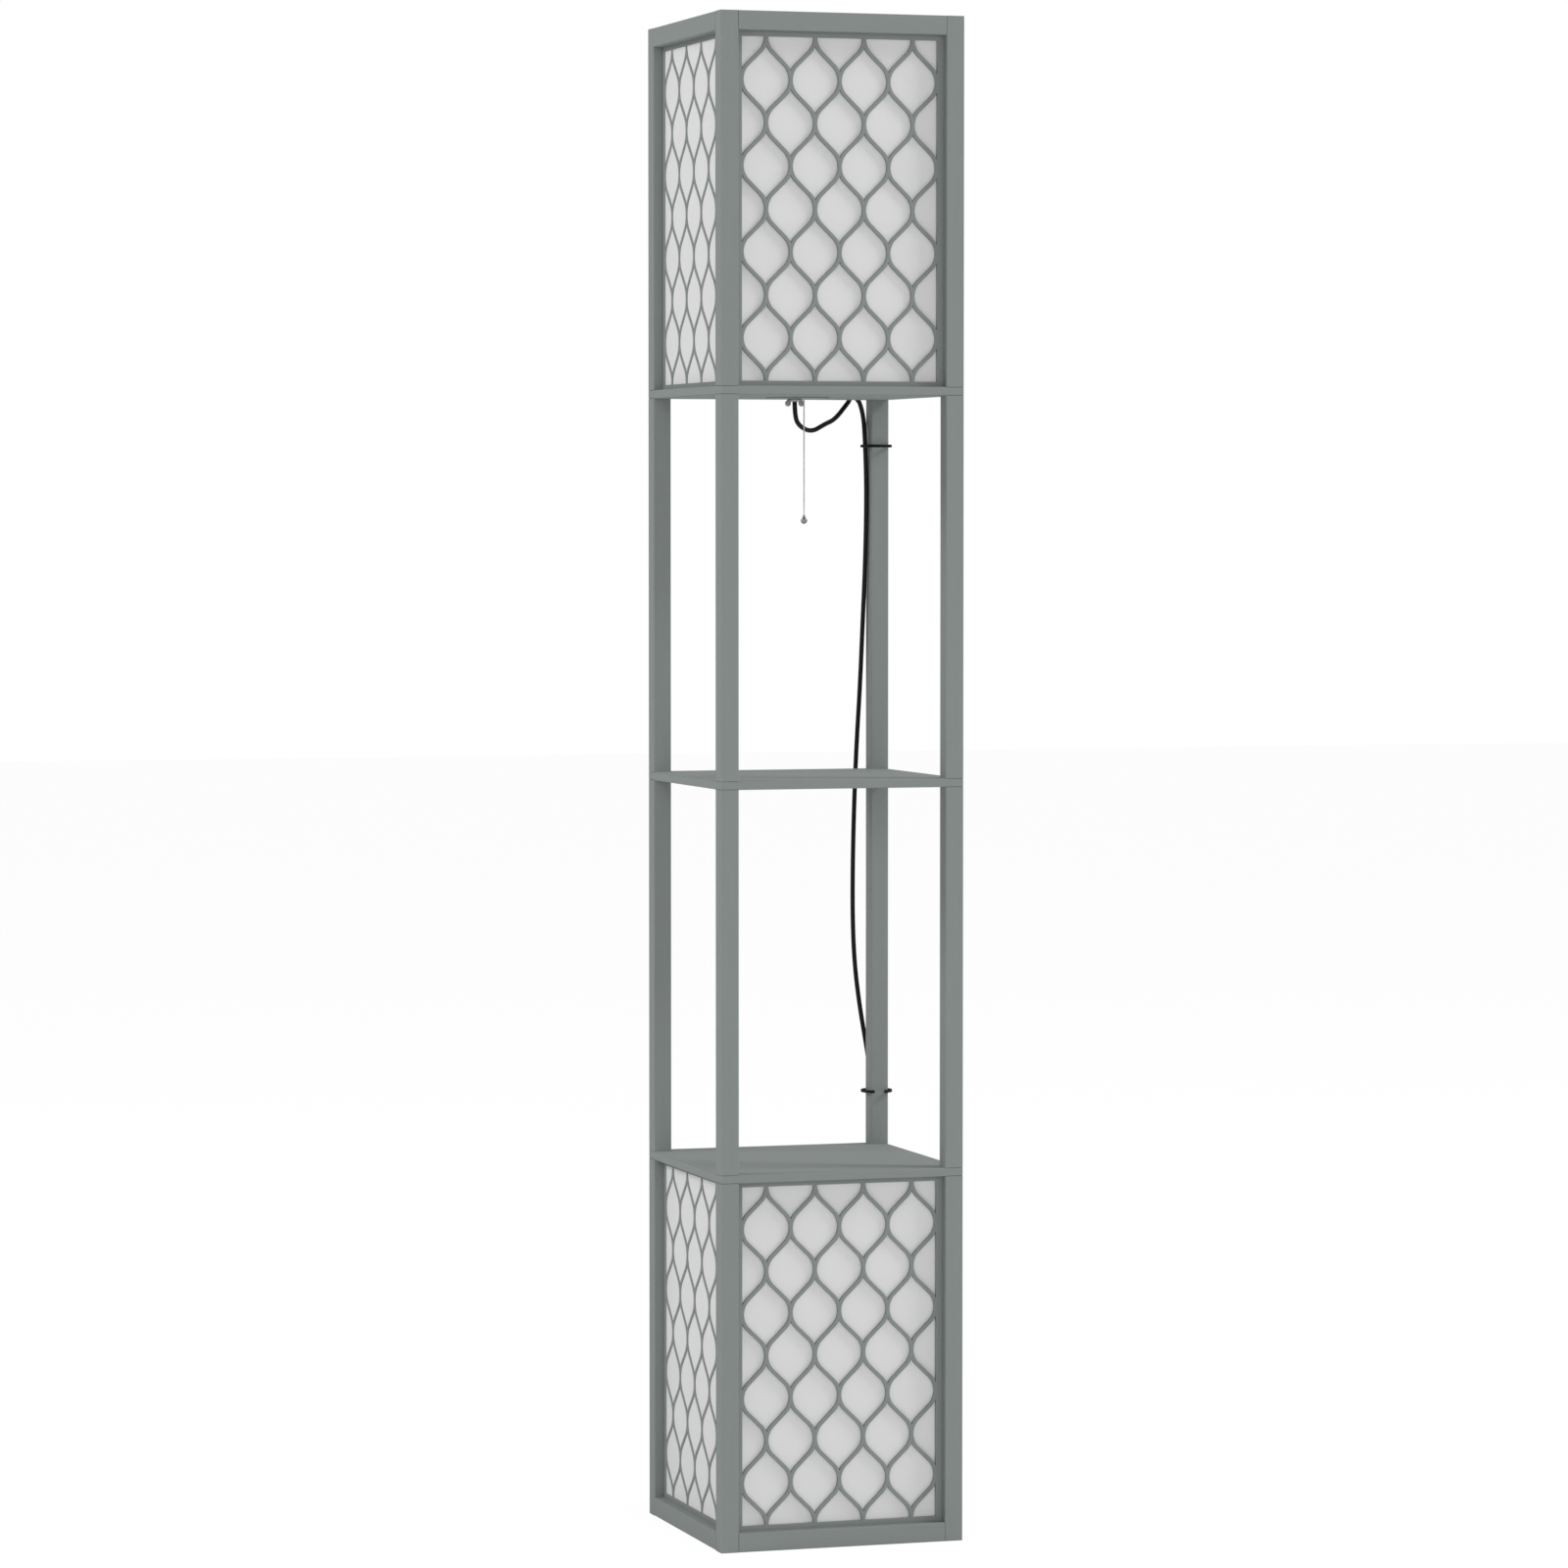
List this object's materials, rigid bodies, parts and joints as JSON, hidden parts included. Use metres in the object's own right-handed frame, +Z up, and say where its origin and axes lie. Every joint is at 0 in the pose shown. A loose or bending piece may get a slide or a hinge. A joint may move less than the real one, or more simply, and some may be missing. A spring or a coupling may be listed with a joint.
{
  "type": "shelf floor lamp",
  "caption": "Tall square floor lamp in painted wood: a latticed lantern with a pull switch on top, open shelves between, and a matching latticed box at the foot.",
  "frame": {"origin": "centre of the square footprint, on the floor", "axes": "+Z up; -Y is the front; +X is the right seen from the front; the lead runs down the back right post"},
  "size_m": [0.2734, 0.355, 1.6],
  "materials": {
    "painted_wood": "satin grey paint",
    "translucent_sheet": "matt translucent white",
    "steel": "zinc plated",
    "plate_steel": "grey enamel",
    "zinc_alloy": "plated die casting",
    "holder_moulding": "moulded, matt",
    "brass": "pressed",
    "bulb_cap": "rolled thread",
    "bulb_glass": "frosted",
    "chain": "polished",
    "cord_pvc": "flexible black PVC",
    "plug_pins": "nickel plated",
    "tie_plastic": "moulded, matt"
  },
  "bodies": {
    "frame": {"centre_contact": "brass", "chain_guide": "holder_moulding", "clamp_plate": "plate_steel", "coil_band": "cord_pvc", "cord_bush": "cord_pvc", "cord_clip": "tie_plastic", "cord_coil": "cord_pvc", "cord_lead": "cord_pvc", "cord_ring": "tie_plastic", "holder_base": "holder_moulding", "holder_shell": "holder_moulding", "joining_studs": "steel", "lower_lantern_lattice_back": "painted_wood", "lower_lantern_lattice_front": "painted_wood", "lower_lantern_lattice_left": "painted_wood", "lower_lantern_lattice_right": "painted_wood", "lower_lantern_liner": "translucent_sheet", "lower_lantern_post_back_left": "painted_wood", "lower_lantern_post_back_right": "painted_wood", "lower_lantern_post_front_left": "painted_wood", "lower_lantern_post_front_right": "painted_wood", "lower_lantern_rail_back": "painted_wood", "lower_lantern_rail_front": "painted_wood", "lower_lantern_rail_left": "painted_wood", "lower_lantern_rail_right": "painted_wood", "lower_shelf": "painted_wood", "lower_tier_post_back_left": "painted_wood", "lower_tier_post_back_right": "painted_wood", "lower_tier_post_front_left": "painted_wood", "lower_tier_post_front_right": "painted_wood", "middle_shelf": "painted_wood", "nipple": "steel", "plug_body": "cord_pvc", "plug_pins": "plug_pins", "screw_shell": "brass", "switch_block": "holder_moulding", "upper_lantern_lattice_back": "painted_wood", "upper_lantern_lattice_front": "painted_wood", "upper_lantern_lattice_left": "painted_wood", "upper_lantern_lattice_right": "painted_wood", "upper_lantern_liner": "translucent_sheet", "upper_lantern_post_back_left": "painted_wood", "upper_lantern_post_back_right": "painted_wood", "upper_lantern_post_front_left": "painted_wood", "upper_lantern_post_front_right": "painted_wood", "upper_lantern_rail_back": "painted_wood", "upper_lantern_rail_front": "painted_wood", "upper_lantern_rail_left": "painted_wood", "upper_lantern_rail_right": "painted_wood", "upper_shelf": "painted_wood", "upper_tier_post_back_left": "painted_wood", "upper_tier_post_back_right": "painted_wood", "upper_tier_post_front_left": "painted_wood", "upper_tier_post_front_right": "painted_wood"},
    "bulb": {"bulb_cap": "bulb_cap", "bulb_glass": "bulb_glass"},
    "chain_slide": {"chain_upper": "chain"},
    "chain_swing": {"chain_lower": "chain", "pull_ball": "chain"},
    "wing_nut": {"wing_nut": "zinc_alloy"}
  },
  "joints": [
    {"name": "bulb_lift", "type": "slide", "parent": "frame", "child": "bulb", "axis": [0, 0, 1], "range_m": [0, 0.36]},
    {"name": "chain_pull", "type": "slide", "parent": "frame", "child": "chain_slide", "axis": [0, 0, -1], "range_m": [0, 0.01], "stiffness_N_per_m": 150},
    {"name": "chain_swing", "type": "hinge", "parent": "chain_slide", "child": "chain_swing", "pos_m": [0, 0, 1.203], "axis": [0, 1, 0], "range_deg": [-15, 15]},
    {"name": "wing_nut_turn", "type": "hinge", "parent": "frame", "child": "wing_nut", "pos_m": [-0.003, 0.023, 1.203], "axis": [0, 0, 1], "continuous": true}
  ]
}
